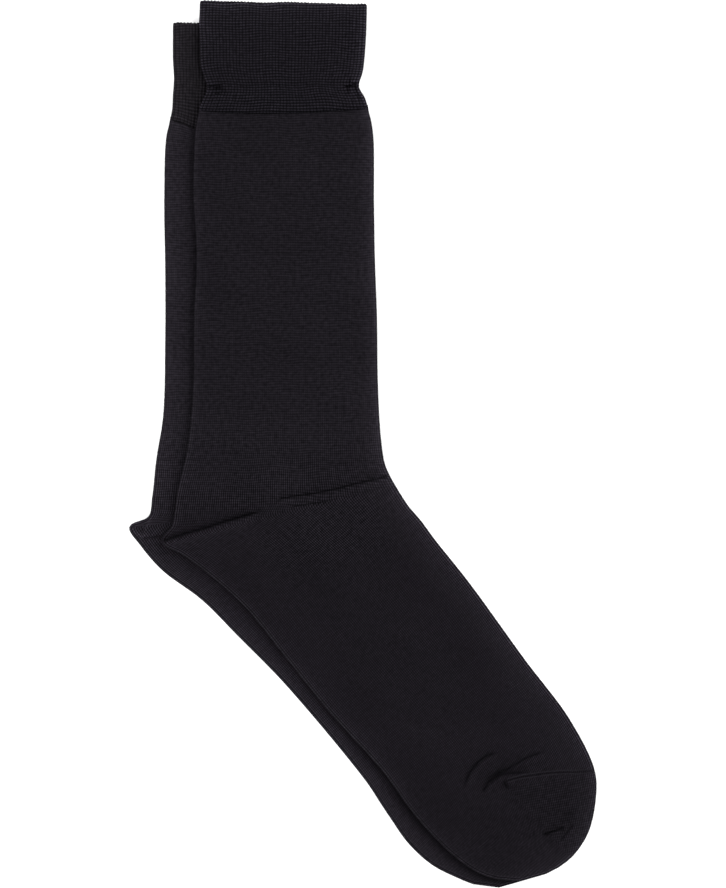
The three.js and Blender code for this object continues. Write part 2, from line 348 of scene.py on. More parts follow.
def drape_height(points):
    """The upper sock lies on the lower one, and past its edge sinks to the surface."""
    return LIE_HEIGHT * (1 - smooth(outline_distance(lower, points) / DRAPE_REACH))


lower = Sock(LOWER_SECTIONS, LOWER_TIP, lambda points: np.zeros(points.shape[:-1]), NOT_DRAWN_IN)
upper = Sock(UPPER_SECTIONS, UPPER_TIP, drape_height, UPPER_DRAWN_IN)
heel = min(UPPER_SECTIONS, key=lambda section: section.back_x)
print("heel to cuff", round(UPPER_SECTIONS[0].back_y - heel.back_y), "mm")

# %% [markdown]
# ## Creases, placed one by one
# Knit creases softly. Where the ankle bends, the foot's cloth laps over the leg's: the leg
# sinks towards the line, the foot rises past it, and a tuck of cloth lies between them. At the
# toe the seam's end draws the cloth into a dimple with curved troughs round it. Each row gives
# a crease's route in pixels of the photograph, so that it can be compared with the picture,
# and its sizes in millimetres. Noise alone would give none of these at the right places.

# %% Crease tables
# route: pixels of the photograph. trough, reach: depth and fade on the near side. lip, back:
# rise and fade on the toe side. tuck: how far the lip laps over. dark: how much painted shade
# darkens the line's colour. start, end: fades along it. A trough below zero is a ridge, and a
# dark below zero paints a highlight along the line instead.
Crease = namedtuple("Crease", "name route trough reach lip back tuck dark start end")
UPPER_CREASES = (
    Crease("heel fold", ((163, 540.5), (174, 536.5), (188, 532), (203, 528), (222, 521.5),
                         (243, 515.5), (268, 507.5)), 1.1, 2.2, 0.85, 3.4, 0.9, 0.98, 0.6, 12),
    Crease("heel hollow", ((172, 528), (205, 514), (240, 504)), 0.3, 4, 0, 4, 0, 0.1, 6, 16),
    Crease("instep fold", ((275, 498.5), (293, 495.5), (314, 492.5), (340, 487), (355, 483),
                           (371, 479.5), (388, 475)), 0.95, 1.7, 0.6, 2.0, 0.9, 0.74, 5, 1.0),
    Crease("under instep fold", ((284, 508), (300, 504.5), (316, 502), (336, 499)),
           0.6, 1.3, 0.25, 1.8, 0.6, 0.4, 8, 8),
    Crease("instep furrow", ((338, 497), (356, 492), (374, 488)), 0.25, 1.2, 0, 1.6, 0, 0.14, 6, 5),
    Crease("over instep fold", ((322, 463), (345, 462), (374, 461)), 0.22, 1.5, 0, 1.6, 0, 0.14, 10, 8),
    Crease("outer toe arc", ((463, 787), (466, 778), (471, 769), (476, 763.5), (482, 758),
                             (490, 753.5), (499, 750)), 0.95, 1.5, 0.5, 1.8, 0.7, 0.72, 5, 6),
    Crease("inner toe arc", ((481.5, 792), (485, 786), (488, 781), (492, 776), (498, 771), (509, 767)),
           1.05, 1.8, 0.45, 1.6, 0.8, 0.74, 2, 4),
    Crease("toe arc at the seam", ((489, 785), (494, 778.5), (500, 774.5), (508, 772.5), (519, 771.5),
                                   (530, 770)), 0.8, 1.3, 0.35, 1.2, 0.5, 0.58, 4, 6),
    Crease("second toe arc", ((501, 771), (509, 767), (518, 761.5), (527, 756.5), (538, 752), (548, 749)),
           0.85, 1.4, 0.35, 1.5, 0.6, 0.5, 2, 6),
    Crease("toe hollow", ((476, 790), (488, 774), (508, 768), (536, 764)),
           0.15, 6, 0, 6, 0, 0.22, 10, 14),
    Crease("dimple", ((503.5, 780.5), (505, 783), (507, 785.5), (507.5, 789)),
           1.0, 1.1, 0.5, 1.2, 0.3, 0.85, 0.7, 1.2),
    Crease("under dimple", ((510, 790), (518, 798), (527, 806)), 0.4, 2.0, 0, 2.0, 0, 0.2, 3, 5),
    Crease("toe seam", ((508, 780), (515, 778), (522, 776.2), (531, 775), (545, 773), (560, 771.8),
                        (578, 771.8), (594, 771)), 0.35, 0.5, 0.2, 0.5, 0.2, 0.45, 1, 0.5),
    Crease("toe nick", ((541, 834), (549, 831.5), (556, 829), (565, 825.5)),
           1.0, 1.3, 0.5, 1.3, 0.8, 0.8, 2.5, 2),
    Crease("toe curl", ((558, 842), (563, 836), (567, 831), (571, 826), (575, 820)),
           0.6, 1.2, 0.35, 1.6, 0.4, 0.35, 3, 4),
    Crease("toe tip hollow", ((560, 824), (568, 814), (573, 806)), 0.2, 2.6, 0, 2.6, 0, 0.22, 4, 4),
)
LOWER_CREASES = (
    Crease("leg over heel", ((141, 536), (143.5, 529), (147.5, 520), (150, 512)),
           0.55, 1.6, 0.7, 0.6, 0.3, 0.5, 0.6, 1.5),
    Crease("heel fold", ((141, 538), (150, 537), (161, 536), (176, 531)),
           0.6, 0.9, 0.25, 1.4, 0.5, 0.45, 1, 8),
    # The ridges below also get a painted highlight along their line.
    Crease("heel flap ridge", ((131.5, 528), (136.5, 533), (142, 537)),
           -0.25, 0.6, 0, 0.6, 0, -0.6, 0.5, 0.5),
    Crease("leg edge ridge", ((142, 537), (144, 530), (148.5, 520), (151, 513)),
           -0.25, 0.6, 0, 0.6, 0, -0.8, 0.5, 1.5),
    Crease("heel ridge", ((141, 536.5), (150, 535), (163, 532.5)), -0.2, 0.6, 0, 0.6, 0, -0.5, 0.5, 2),
    Crease("instep fold", ((256, 513), (292, 508), (330, 500), (362, 492)),
           0.6, 1.6, 0.2, 2.0, 0.6, 0.3, 12, 3),
    Crease("toe seam", ((486, 795), (509, 789), (531, 786.5), (556, 786.5), (572, 785.5)),
           0.35, 0.5, 0.15, 0.5, 0.2, 0.4, 1, 0.5),
    Crease("toe arc", ((460, 806), (470, 790), (490, 786), (506, 785)),
           0.7, 1.2, 0.2, 1.2, 0.5, 0.3, 4, 6),
)
CUFF_CREASES = (
    Crease("left pinch", ((202, 87.5), (207, 87.5), (213, 87), (219, 88.5), (226, 86)),
           0.85, 1.1, 0.45, 1.1, 0.4, 0.8, 0.5, 4),
    Crease("left pinch, upper", ((216, 86.5), (221, 85), (227, 82)), 0.6, 0.9, 0.4, 0.9, 0.2, 0.65, 1, 3),
    Crease("left pinch, lower", ((214, 93), (220, 93), (227, 91)), 0.6, 0.9, 0.4, 0.9, 0.2, 0.65, 1, 3),
    Crease("left pinch, inner", ((207, 84), (206, 89), (204.5, 97)), 0.6, 0.8, 0.1, 0.9, 0.1, 0.45, 1, 4),
    Crease("left pinch, down", ((213, 90), (212, 98), (213, 106)), 0.4, 0.9, 0.1, 0.9, 0, 0.3, 2, 4),
    Crease("right pinch", ((359, 86), (354, 85), (349, 87), (341, 86)),
           0.85, 1.1, 0.5, 1.1, 0.4, 0.85, 0.3, 3),
    Crease("right pinch, inner", ((350, 75), (349.5, 82), (348, 89), (349, 95)),
           0.6, 0.9, 0.3, 0.9, 0.2, 0.42, 3, 3),
    Crease("right pinch, outer", ((353, 82), (356, 90), (359, 97), (361, 104)),
           0.6, 0.9, 0.45, 0.9, 0.1, 0.6, 1, 3),
    Crease("right pinch, fan", ((352, 90), (355, 96), (356, 103)), 0.4, 0.7, 0.1, 0.8, 0, 0.3, 2, 4),
    Crease("elastic line", ((226, 86), (270, 85), (300, 85.5), (341, 86.5)),
           0.22, 1.6, 0.05, 1.6, 0, 0.16, 6, 6),
)
print("creases:", len(UPPER_CREASES) + len(LOWER_CREASES) + len(CUFF_CREASES))

# %% [markdown]
# ## From a crease's row to the cloth's form
# Across its line a crease has a soft trough, a steeper far side and a rounded lip that laps
# back over it. Sculpting would give the same form, but not the same form again after a change.
# So each point of the cloth looks up its nearest place on the line, and gets an offset in the
# plan, a height, and a painted shade in its colour from how far it lies to either side, with a
# painted highlight on the lip.

# %% Crease field
ROUTE_STEPS = 24
FIELD_REACHES, FIELD_ROOM = 3, 2
TUCK_WIDTH = 1.1
TUCK_LEAD = 0.7
TUCK_PULL = 1.6
DEEPEST = 1.15
NEAR_FADE, FAR_FADE = 1.3, 0.6
LIP_FROM, LIP_OVER = -0.2, 1.2
LIP_LIGHT = 0.45
CORE_REACH, CORE_PER_TUCK, CORE_SHADE = 0.75, 0.5, 0.4
FAR_REACH, FAR_PER_TUCK = 0.9, 0.4
SHADE_FADE = 1.2


def crease_field(creases, points):
    """Plan offsets, heights, and the painted shade and highlight that the creases give to points of an
    upward face.
    """
    shift = np.zeros_like(points)
    height = np.zeros(points.shape[:-1])
    shade = np.ones(points.shape[:-1])
    for crease in creases:
        route = spline_through([from_photo(*p) for p in crease.route])
        count = len(crease.route) - 1
        line, along = route(np.linspace(0, count, ROUTE_STEPS * count + 1))
        run = np.concatenate([[0], np.cumsum(np.linalg.norm(np.diff(line, axis=0), axis=1))])
        margin = FIELD_REACHES * max(crease.reach, crease.back) + FIELD_ROOM
        low, high = line.min(axis=0) - margin, line.max(axis=0) + margin
        near = np.all((points > low) & (points < high), axis=-1)
        if not near.any():
            continue
        spot = points[near]
        gaps = spot[:, None] - line[None]
        closest = np.argmin((gaps**2).sum(axis=-1), axis=1)
        picked = np.arange(len(spot))
        toeside = np.stack([along[closest, 1], -along[closest, 0]], axis=1)
        off = (gaps[picked, closest] * toeside).sum(axis=1) - TUCK_LEAD * crease.tuck
        beyond = np.abs((gaps[picked, closest] * along[closest]).sum(axis=1))
        fade = smooth(run[closest] / crease.start) * smooth((run[-1] - run[closest]) / crease.end)
        fade = fade * (1 - smooth(beyond / crease.reach))
        near_side = np.exp(-((np.abs(off) / crease.reach) ** NEAR_FADE))
        sunk = np.where(off < 0, near_side, np.exp(-((off / FAR_FADE) ** 2)))
        raised = smooth((off - LIP_FROM) / LIP_OVER) * np.exp(-((np.maximum(off - 1, 0) / crease.back) ** 2))
        height[near] += fade * (crease.lip * raised - crease.trough * sunk)
        # Painted shade darkens the colour along the line, and the lip gets a painted highlight.
        core = min(CORE_REACH + CORE_PER_TUCK * crease.tuck, crease.reach)
        near_shade = (1 - CORE_SHADE) * np.exp(-((np.abs(off) / crease.reach) ** SHADE_FADE))
        near_shade += CORE_SHADE * np.exp(-((off / core) ** 2))
        far_reach = min(FAR_REACH + FAR_PER_TUCK * crease.tuck, crease.back) if crease.lip else crease.back
        far_shade = np.exp(-((off / far_reach) ** 2))
        lip_highlight = LIP_LIGHT * crease.lip * fade * raised
        shade[near] *= (1 + lip_highlight) * (1 - fade * crease.dark * np.where(off < 0, near_shade, far_shade))
        q = off / TUCK_WIDTH
        shift[near] -= (fade * crease.tuck * TUCK_PULL * TUCK_WIDTH * q * np.exp(-(q**2)))[:, None] * toeside
    height = np.where(height < 0, -DEEPEST * np.tanh(-height / DEEPEST), height)
    return shift, height, shade


dimple_middle = np.array([from_photo(505, 783)])
print("the toe's dimple is", -round(crease_field(UPPER_CREASES, dimple_middle)[1][0], 2), "mm deep")

# %% [markdown]
# ## Light at the edges
# Towards the pale sheet black knit looks a little lighter, so a painted light is laid along
# the outline, and a painted highlight along the upper sock's rim. Beside the upper sock the
# lower one is darker, in a strip that widens towards the toe: a painted shadow. The lower sock
# is also painted a little lighter all over. A render's own shadows give too little of either
# on so dark a cloth, so both are kept as a shade for each point, which the finish multiplies by.

# %% Painted light and shadow at the outline
# Painted light along the outline, a painted highlight on the upper sock's rim, a painted shadow on the lower
# sock beside the upper one, and painted light over the whole lower sock.
OUTLINE_PAINTED_LIGHT = 0.85
PAINTED_LIGHT_REACH = 5.5
RIM_PAINTED_HIGHLIGHT = 0.6
RIM_REACH = 1.2
BESIDE_PAINTED_SHADOW = (0.2, 0.52)
LOWER_PAINTED_LIGHT = 1.08
PAINTED_SHADOW_REACH = (0.9, 3.0)
WIDENS_FROM, WIDENS_TO = -90, -185
BACK_HALF = -40


def painted_edge_shade(sock, points):
    """Painted light towards the pale sheet, and a painted shadow on the lower sock beside the upper one."""
    outside_lower = outline_distance(lower, points)
    drawn_in = np.interp(-points[..., 1], upper.drawn_in_at, upper.drawn_in)
    outside_upper = outline_distance(upper, points) + np.where(points[..., 0] < BACK_HALF, drawn_in, 0)
    to_sheet = -np.minimum(outside_lower, outside_upper)
    shade = 1 + OUTLINE_PAINTED_LIGHT * np.exp(-np.maximum(to_sheet, 0) / PAINTED_LIGHT_REACH)
    if sock is upper:
        return shade * (1 + RIM_PAINTED_HIGHLIGHT * np.exp(-np.maximum(-outside_upper, 0) / RIM_REACH))
    toeward = smooth((WIDENS_FROM - points[..., 1]) / (WIDENS_FROM - WIDENS_TO))
    dark = BESIDE_PAINTED_SHADOW[0] + (BESIDE_PAINTED_SHADOW[1] - BESIDE_PAINTED_SHADOW[0]) * toeward
    reach = PAINTED_SHADOW_REACH[0] + (PAINTED_SHADOW_REACH[1] - PAINTED_SHADOW_REACH[0]) * toeward
    beside = np.maximum(outside_upper - EDGE_GROWTH, 0) / reach
    return LOWER_PAINTED_LIGHT * shade * (1 - dark * np.exp(-(beside**2)))


toe_strip = np.array([from_photo(421, 830)])
print("shade on the lower sock beside the toe:", round(painted_edge_shade(lower, toe_strip)[0], 2))

# %% [markdown]
# ## Cloth never lies quite even
# A few long, low waves, with fixed random directions, keep the light on the leg and foot from
# looking like a sheet of plastic. A noise texture could do it, but a sum of waves can be asked
# for at any point, so the same field also moves the courses of the knit. The waves are far
# below the creases in height.

# %% Slow waves
WAVES = 14
WAVE_LENGTHS = (14, 60)
WAVE_HEIGHT = 0.1
LOWER_WAVE_HEIGHT = 0.04
WAVE_SEED = 7
MOTTLE = 0.05


def slow_waves(points):
    random = np.random.default_rng(WAVE_SEED)
    total = np.zeros(points.shape[:-1])
    for _ in range(WAVES):
        turn = random.uniform(0, math.pi)
        length = random.uniform(*WAVE_LENGTHS)
        phase = random.uniform(0, 2 * math.pi)
        along = points @ np.array([math.cos(turn), math.sin(turn)])
        total += np.sin(2 * math.pi * along / length + phase)
    return total / math.sqrt(WAVES)


print("waves:", WAVES, "up to about", 2 * WAVE_HEIGHT, "mm")

# %% [markdown]
# ## Knit coordinates
# The stitches follow the tube, so each shell gets a UV map that counts them: wales round the
# tube and courses along it. The leg's courses run level and the foot's run across the foot;
# they meet at the gore, the mitre line from the heel's tip to the ankle's bend. Past the
# linked seam the toe pocket's courses run along that seam, as far as its own gore.

# %% Stitch counting
WALES = 200
LAYER_WALES = 95.5
RIM_WALES = WALES / 2 - LAYER_WALES
COURSE_PITCH = 0.61
WALE_PITCH = 0.93
FOOT_TURN = math.radians(-50)
FOOT_ALONG = np.array([math.cos(FOOT_TURN), math.sin(FOOT_TURN)])
HEEL_TIP = 14
GORE_END = 24
GORE_SHARE = 0.75
SEAM_SHARE = 0.53
COURSE_WANDER = 0.5
WANDER_DETAIL = 1.8


def left_of(points, start, end):
    """Which points lie to the left of a line, seen along it."""
    line = end - start
    return (points - start) @ np.array([-line[1], line[0]]) > 0


class Knit:
    """Counts the stitches of one sock from places in its plan."""

    def __init__(self, sock):
        self.heel = sock.outline([HEEL_TIP])[0][0]
        self.bend = sock.outline([2 * sock.tip - HEEL_TIP])[0][0]
        seam_back, seam_front = sock.outline([TOE_SEAM, 2 * sock.tip - TOE_SEAM])[0]
        gore_back, gore_front = sock.outline([GORE_END, 2 * sock.tip - GORE_END])[0]
        self.seam_end = seam_front
        self.corner = seam_back + SEAM_SHARE * (seam_front - seam_back)
        self.gore = gore_back + GORE_SHARE * (gore_front - gore_back)
        seam = self.seam_end - self.corner
        self.seam_along = seam / np.linalg.norm(seam)

    def wander(self, points):
        """Courses that are pulled a little up and down, as in any worn or folded knit."""
        return COURSE_WANDER * slow_waves(points * WANDER_DETAIL)

    def leg(self, points):
        return -points[..., 1] / COURSE_PITCH + self.wander(points)

    def foot(self, points):
        return ((points - self.heel) @ FOOT_ALONG - self.heel[1]) / COURSE_PITCH + self.wander(points)

    def toe(self, points):
        past_seam = np.array([self.seam_along[1], -self.seam_along[0]])
        return (points - self.corner) @ past_seam / COURSE_PITCH

    def toe_wale(self, points):
        return (points - self.corner) @ self.seam_along / WALE_PITCH

    def in_foot(self, points):
        return ~left_of(points, self.heel, self.bend)

    def in_toe(self, points):
        return ~left_of(points, self.corner, self.seam_end) & left_of(points, self.corner, self.gore)


print("stitches round each sock:", WALES)

# %% [markdown]
# ## From sections to a cloth shell
# A shell is a grid of points: rows are sections along the tube, columns run once round it,
# through the lower layer, the front fold, the upper layer and the back fold. An outer and an
# inner skin of that kind are joined at the open ends, so the cloth has a real edge there.

# %% Grid helpers
SEARCH_STEPS = 2000
Columns = namedtuple("Columns", "share side out up wale")


def columns_of(lower_shares, upper_shares, rim_steps):
    """Once round the tube: share of the width, rim side (-1 back, 1 front), outward and upward parts."""
    turns = math.pi * np.arange(1, rim_steps) / rim_steps
    down, top = np.asarray(lower_shares, float), np.asarray(upper_shares, float)[::-1]
    share = np.concatenate([down, np.ones(len(turns)), top, np.zeros(len(turns))])
    side = np.concatenate([0 * down, np.ones(len(turns)), 0 * top, -np.ones(len(turns))])
    out = np.concatenate([0 * down, np.sin(turns), 0 * top, np.sin(turns)])
    up = np.concatenate([0 * down - 1, -np.cos(turns), 0 * top + 1, np.cos(turns)])
    rim_share = turns / math.pi
    wale = np.concatenate([
        down * LAYER_WALES,
        LAYER_WALES + rim_share * RIM_WALES,
        WALES / 2 + (1 - top) * LAYER_WALES,
        WALES - RIM_WALES + rim_share * RIM_WALES,
    ])
    return Columns(share, side, out, up, wale)


# For each row of a skin: its place along the tube, a shift towards the toe and two radii.
Skin = namedtuple("Skin", "places shifts radius_out radius_up")


def place_grid(sock, skin, columns):
    """Plan points and heights of a grid, with a radius of its own for each row."""
    back, front, back_out, front_out, toeward, bow = sock.plan(skin.places)
    share = columns.share[None, :, None]
    plan = back[:, None] * (1 - share) + front[:, None] * share
    bowed = bow[:, None] * 4 * columns.share * (1 - columns.share)
    plan = plan + toeward[:, None] * (bowed + skin.shifts[:, None])[..., None]
    outward = np.where(columns.side[None, :, None] > 0, front_out[:, None], back_out[:, None])
    plan = plan + outward * (columns.out[None] * skin.radius_out[:, None])[..., None]
    return plan, RIM + columns.up[None] * skin.radius_up[:, None]


def rows_between(sock, start, end, spacing):
    """Places from one section to another, with a spacing in mm that may change along the tube."""
    fine = np.linspace(start, end, SEARCH_STEPS)
    back, front = sock.plan(fine)[:2]
    middle = (back + front) / 2
    step = np.linalg.norm(np.diff(middle, axis=0), axis=1) / spacing(0.5 * (fine[1:] + fine[:-1]))
    count = np.concatenate([[0], np.cumsum(step)])
    return np.interp(np.linspace(0, count[-1], int(round(count[-1])) + 1), count, fine)


ten_apart = rows_between(upper, CUFF_SEAM, upper.tip, lambda place: np.full(place.shape, 10.0))
print("the leg and foot are about", 10 * (len(ten_apart) - 1), "mm along")

# %% [markdown]
# ## Faces and their stitch counts
# Neighbouring rows are joined by quads. Blender's own bridge tool could join the skins at the
# open ends, but both rings have a different number of points there, so a small loop walks
# round them and takes the nearer next point. Each face corner gets its wale and its course.

# %% Faces
def grid_faces(rows, count, first, inward):
    """Quads of a grid that closes round, as point numbers and as (row, column) corners."""
    row, column = np.meshgrid(np.arange(rows - 1), np.arange(count), indexing="ij")
    row, column = row.ravel(), column.ravel()
    corners = [(row, column), (row, column + 1), (row + 1, column + 1), (row + 1, column)]
    if inward:
        corners = corners[::-1]
    points = np.stack([first + r * count + c % count for r, c in corners], axis=1)
    return points, corners


def ring_faces(outer, outer_wale, inner, inner_wale, flip):
    """Triangles between the last ring of the outer skin and that of the inner skin."""
    made = []
    outer_ends = [*outer_wale[1:], WALES, math.inf]
    inner_ends = [*inner_wale[1:], WALES, math.inf]
    i = j = 0
    while i < len(outer) or j < len(inner):
        a, b = outer[i % len(outer)], inner[j % len(inner)]
        if outer_ends[i] <= inner_ends[j]:
            third = outer[(i + 1) % len(outer)]
            i += 1
        else:
            third = inner[(j + 1) % len(inner)]
            j += 1
        made.append((a, third, b) if flip else (a, b, third))
    return made


def skin_uv(sock, plan, columns, corners):
    """UV of each face corner: wales round the tube and courses along it."""
    knit = Knit(sock)
    wale = np.append(columns.wale, WALES)
    count = plan.shape[1]
    foot_votes = sum(knit.in_foot(plan)[r, c % count].astype(int) for r, c in corners)
    toe_votes = sum(knit.in_toe(plan)[r, c % count].astype(int) for r, c in corners)
    u, v = [], []
    for r, c in corners:
        spot = plan[r, c % count]
        course = np.where(foot_votes > 2, knit.foot(spot), knit.leg(spot))
        u.append(np.where(toe_votes > 2, knit.toe_wale(spot), wale[c]))
        v.append(np.where(toe_votes > 2, knit.toe(spot), course))
    return np.stack([np.stack(u, axis=1), np.stack(v, axis=1)], axis=-1)


print("faces of a grid with 3 rows of 4 points:", len(grid_faces(3, 4, 0, False)[0]))

# %% [markdown]
# ## Building one shell
# The outer skin carries the creases. On the upward face they sink and rise; on the underside,
# which rests on the floor, only the hollows show, shallower. The inner skin is coarse, since
# only the cuff's mouth lets one see it. Solidify could make it, but not with fewer points.

# %% Shell builder
UNDERSIDE_SHARE = 0.4
WELD_DISTANCE = 2e-6
NO_LENGTH = 1e-7


def set_point_values(made, name, values):
    """Keeps a number for each point of a mesh, for a material or a tree to read."""
    made.data.attributes.new(name, "FLOAT", "POINT").data.foreach_set("value", values.astype("f"))


def shell(name, sock, outer, inner, outer_columns, inner_columns, relief, closed_end):
    plan, height = place_grid(sock, outer, outer_columns)
    base_plan = plan.copy()
    shift, rise, shade = relief(plan, outer_columns)
    up = np.clip(outer_columns.up, 0, 1)[None]
    down = np.clip(-outer_columns.up, 0, 1)[None]
    plan = plan + shift * up[..., None]
    height = height + rise * up - UNDERSIDE_SHARE * np.minimum(rise, 0) * down + sock.base_at(plan)
    inner_plan, inner_height = place_grid(sock, inner, inner_columns)
    inner_height = inner_height + sock.base_at(inner_plan)
    outer_points = np.concatenate([plan, height[..., None]], axis=-1).reshape(-1, 3)
    inner_points = np.concatenate([inner_plan, inner_height[..., None]], axis=-1).reshape(-1, 3)
    outer_count, inner_count = len(outer_columns.share), len(inner_columns.share)
    first = len(outer_points)
    outer_faces, outer_corners = grid_faces(len(outer.places), outer_count, 0, False)
    inner_faces, inner_corners = grid_faces(len(inner.places), inner_count, first, True)
    uv = [skin_uv(sock, base_plan, outer_columns, outer_corners).reshape(-1, 2),
          skin_uv(sock, inner_plan, inner_columns, inner_corners).reshape(-1, 2)]
    ends = ring_faces(np.arange(outer_count), outer_columns.wale,
                      first + np.arange(inner_count), inner_columns.wale, False)
    if not closed_end:
        last_outer = (len(outer.places) - 1) * outer_count + np.arange(outer_count)
        last_inner = first + (len(inner.places) - 1) * inner_count + np.arange(inner_count)
        ends += ring_faces(last_outer, outer_columns.wale, last_inner, inner_columns.wale, True)
    points = np.concatenate([outer_points, inner_points])
    wales = np.concatenate([np.tile(outer_columns.wale, len(outer.places)),
                            np.tile(inner_columns.wale, len(inner.places))])
    leg_courses = Knit(sock).leg(points[:, :2])
    corner_wale = wales[np.array(ends)]
    corner_wale = np.where(np.ptp(corner_wale, axis=1)[:, None] > WALES / 2,
                           np.where(corner_wale < WALES / 2, corner_wale + WALES, corner_wale), corner_wale)
    uv.append(np.stack([corner_wale, leg_courses[np.array(ends)]], axis=-1).reshape(-1, 2))
    faces = outer_faces.tolist() + inner_faces.tolist() + ends
    made = new_mesh_object(name, (points * MM).tolist(), faces)
    # The shade attribute: painted shade and light for the upward face, plain elsewhere.
    tone = np.concatenate([(1 + (shade - 1) * up).ravel(), np.ones(len(inner_points))])
    set_point_values(made, "shade", tone)
    layer = made.data.uv_layers.new(name="Knit")
    layer.data.foreach_set("uv", np.concatenate(uv).astype("f").ravel())
    weld(made)
    made.data.shade_smooth()
    return made


def weld(made):
    """Joins the points that meet at the toe's tip and drops the faces that have no area there."""
    work = bmesh.new()
    work.from_mesh(made.data)
    bmesh.ops.remove_doubles(work, verts=work.verts, dist=WELD_DISTANCE)
    bmesh.ops.dissolve_degenerate(work, edges=work.edges, dist=NO_LENGTH)
    work.to_mesh(made.data)
    work.free()
    made.data.update()


print("the underside keeps", UNDERSIDE_SHARE, "of each hollow")

# %% [markdown]
# ## Leg, heel, foot and toe
# These are one knitted piece, so they are one shell. Rows are close where the ankle and the
# toe crease and wide where the leg lies plain. At its top the shell slips under the cuff's
# edge, a little flatter there, which gives the dark line that a thick rib leaves above it.

# %% Leg and foot shells
TUCK_UNDER_CUFF = 1.6
TUCK_RISE = 3.5
TUCK_HEIGHT = 0.92
TUCK_NARROWER = 0.12
LAYER_STEPS = 112
UNDER_STEPS = 60
RIM_STEPS = 8
INNER_STEPS = 14
INNER_RIM_STEPS = 3
INNER_ROW = 4.0
ANKLE_ZONE = (12.0, 15.6)
TOE_ZONE = (20.6, 24.9)
# Spacing of the rows in millimetres: where the cloth lies plain, at the ankle and at the toe.
UPPER_ROWS = (2.2, 0.34, 0.45)
LOWER_ROWS = (2.6, 0.6, 1.2)
# Most of the lower sock is hidden, so its columns are close only in the strip that shows.
STRIP_SHARE = 0.3
STRIP_STEPS = 42
HIDDEN_STEPS = 26
SAG_AT = from_photo(201, 120)
SAG_REACH = np.array([9.0, 10.0])
SAG_DEPTH = 4.4


def row_spacing(plain, ankle, toe):
    def spacing(place):
        in_ankle = (place > ANKLE_ZONE[0]) & (place < ANKLE_ZONE[1])
        in_toe = (place > TOE_ZONE[0]) & (place < TOE_ZONE[1])
        return np.where(in_ankle, ankle, np.where(in_toe, toe, plain))
    return spacing


def hem_sag(points):
    """How far the lower cuff's hem, and the leg with it, hangs toeward beside the upper sock."""
    away = (points - SAG_AT) / SAG_REACH
    return SAG_DEPTH * np.exp(-(away**2).sum(axis=-1))


def leg_relief(sock, creases, wave_height):
    def relief(plan, _columns):
        shift, rise, shade = crease_field(creases, plan)
        if sock is lower:
            shift[..., 1] -= hem_sag(plan)
        waves = slow_waves(plan)
        # Painted shade and light of the creases and edges, with a faint random mottle in the tone.
        tone = shade * painted_edge_shade(sock, plan) * (1 + MOTTLE * waves)
        return shift, rise + wave_height * (waves - 1), tone
    return relief


def leg_skin(sock, places, radius, growth):
    """Rows of a leg skin: flatter where it slips under the cuff, then full."""
    back = sock.plan(places)[0]
    past = np.linalg.norm(back - back[0], axis=1)
    grown = smooth(past / TUCK_RISE)
    shifts = np.where(np.arange(len(places)) == 0, -TUCK_UNDER_CUFF, 0.0)
    out = radius + growth - TUCK_NARROWER * (1 - grown)
    up = radius * (TUCK_HEIGHT / RIM + (1 - TUCK_HEIGHT / RIM) * grown)
    return Skin(places, shifts, out, up)


def build_leg(name, sock, creases, spacing, upper_shares, wave_height):
    rows = rows_between(sock, CUFF_SEAM, sock.tip, spacing)
    inner_rows = rows_between(sock, CUFF_SEAM, sock.tip, lambda place: np.full(place.shape, INNER_ROW))
    outer_columns = columns_of(np.linspace(0, 1, UNDER_STEPS), upper_shares, RIM_STEPS)
    inner_shares = np.linspace(0, 1, INNER_STEPS)
    inner_columns = columns_of(inner_shares, inner_shares, INNER_RIM_STEPS)
    outer = leg_skin(sock, rows, RIM, EDGE_GROWTH)
    inner = leg_skin(sock, inner_rows, HALF_HOLLOW, 0)
    relief = leg_relief(sock, creases, wave_height)
    made = shell(name, sock, outer, inner, outer_columns, inner_columns, relief, True)
    print(name, "rows", len(rows), "columns", len(outer_columns.share), "faces", len(made.data.polygons))
    return made


even_shares = np.linspace(0, 1, LAYER_STEPS)
strip_shares = np.linspace(0, STRIP_SHARE, STRIP_STEPS)
back_heavy_shares = np.concatenate([strip_shares, np.linspace(STRIP_SHARE, 1, HIDDEN_STEPS)[1:]])
upper_leg = build_leg(
    "upper_sock_leg", upper, UPPER_CREASES, row_spacing(*UPPER_ROWS), even_shares, WAVE_HEIGHT
)
lower_leg = build_leg(
    "lower_sock_leg", lower, LOWER_CREASES, row_spacing(*LOWER_ROWS), back_heavy_shares, LOWER_WAVE_HEIGHT
)

# %% [markdown]
# ## Cuffs
# The cuff is a 1x1 rib: fifty ribs to a side, drawn in at the line of the elastic. The shell
# is built plain with a count of its ribs, and Geometry Nodes then raise the ribs from that
# count, so that their number and height are inputs that can be changed later.

# %% Cuff shells
RIBS = 50
POINTS_PER_RIB = 6
CUFF_ROW = 0.6
CUFF_INNER_ROW = 3.0
CUFF_INNER_STEPS = 31
CUFF_INNER_RIM_STEPS = 5
CUFF_WALL = 0.75
# Over the leg's top the wall thins to a lip, with a little room left under the outer skin.
CUFF_LIP = 0.45
LIP_FADE = 6
LIP_ROOM = (0.08, 0.02)
HEM_THINNER = 0.12
MOUTH_ROUND = 0.35
MOUTH_CORNERS = (0.5, 0.1)
# The mouth's waves round the tube: share of the height, turns and start.
MOUTH_WAVE = 0.22
MOUTH_WAVES = ((1.0, 1.9, 0.8), (0.6, 3.7, 2.1))
WAVE_FADE = 4
MOUTH_SCALLOP = 0.25
SCALLOP_FADE = 0.8
HEM_SINK = 0.35
HEM_REACH = 1.3
# Painted shade along the cuff's lower edge, where the rib's step shades the cloth.
HEM_PAINTED_SHADE = 0.55


